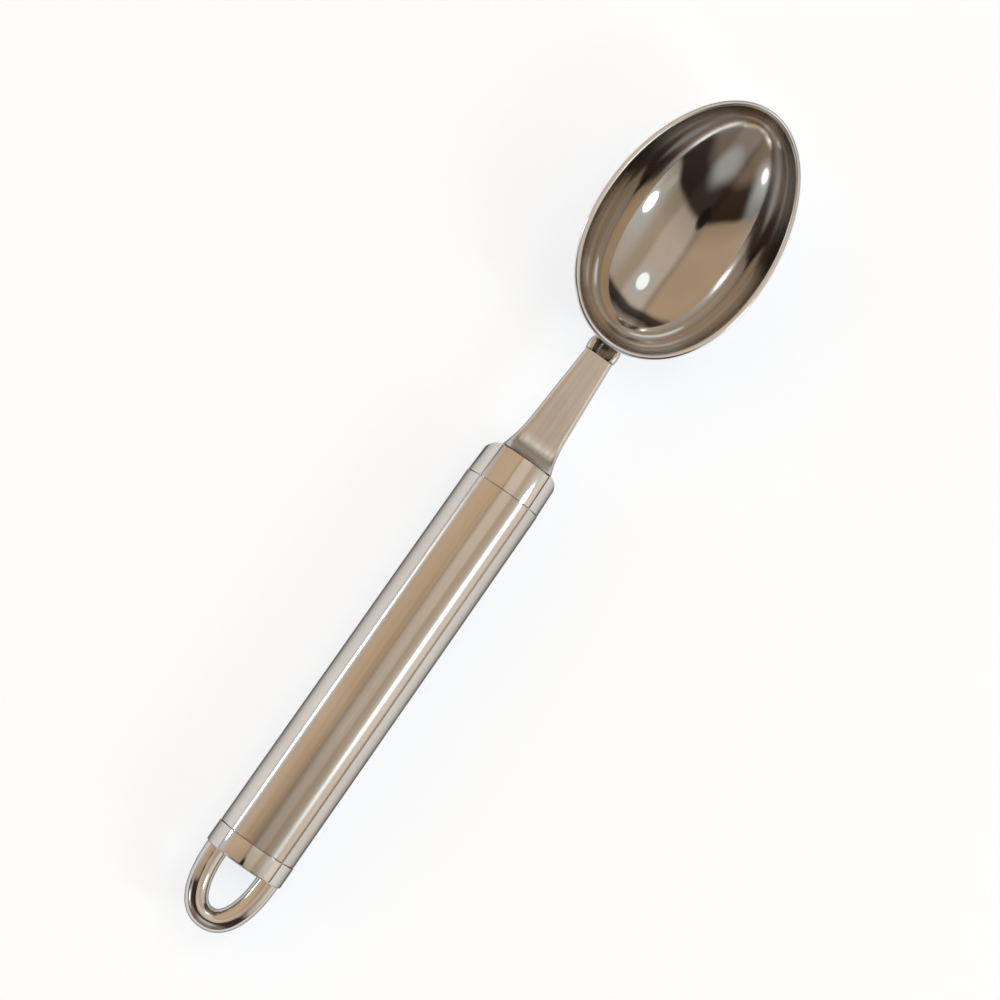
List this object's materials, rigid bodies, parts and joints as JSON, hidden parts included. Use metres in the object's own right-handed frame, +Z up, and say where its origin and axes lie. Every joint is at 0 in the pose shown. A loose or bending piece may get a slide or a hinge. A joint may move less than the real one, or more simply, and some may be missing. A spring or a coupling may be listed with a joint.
{
  "type": "ice cream scoop",
  "caption": "Stainless ice cream scoop with an egg-shaped polished bowl, a tapered flat shank, a round tube handle and a hanging loop.",
  "frame": {"origin": "on the table, under the middle of the scoop's length", "axes": "+X along the handle from the hanging loop to the bowl's tip, +Y across to the left, +Z up out of the open bowl"},
  "size_m": [0.217, 0.0414, 0.0198],
  "materials": {
    "polished_steel": "mirror-polished stainless steel",
    "satin_steel": "fine satin polish",
    "weld_steel": "weld metal, lightly cleaned"
  },
  "bodies": {
    "root": {"bowl": "polished_steel", "bowl_weld": "weld_steel", "shank": "satin_steel", "front_collar": "polished_steel", "tang_weld": "weld_steel", "handle_tube": "satin_steel", "rear_cap": "polished_steel", "hanging_loop": "polished_steel", "loop_weld_left": "weld_steel", "loop_weld_right": "weld_steel"}
  },
  "joints": []
}
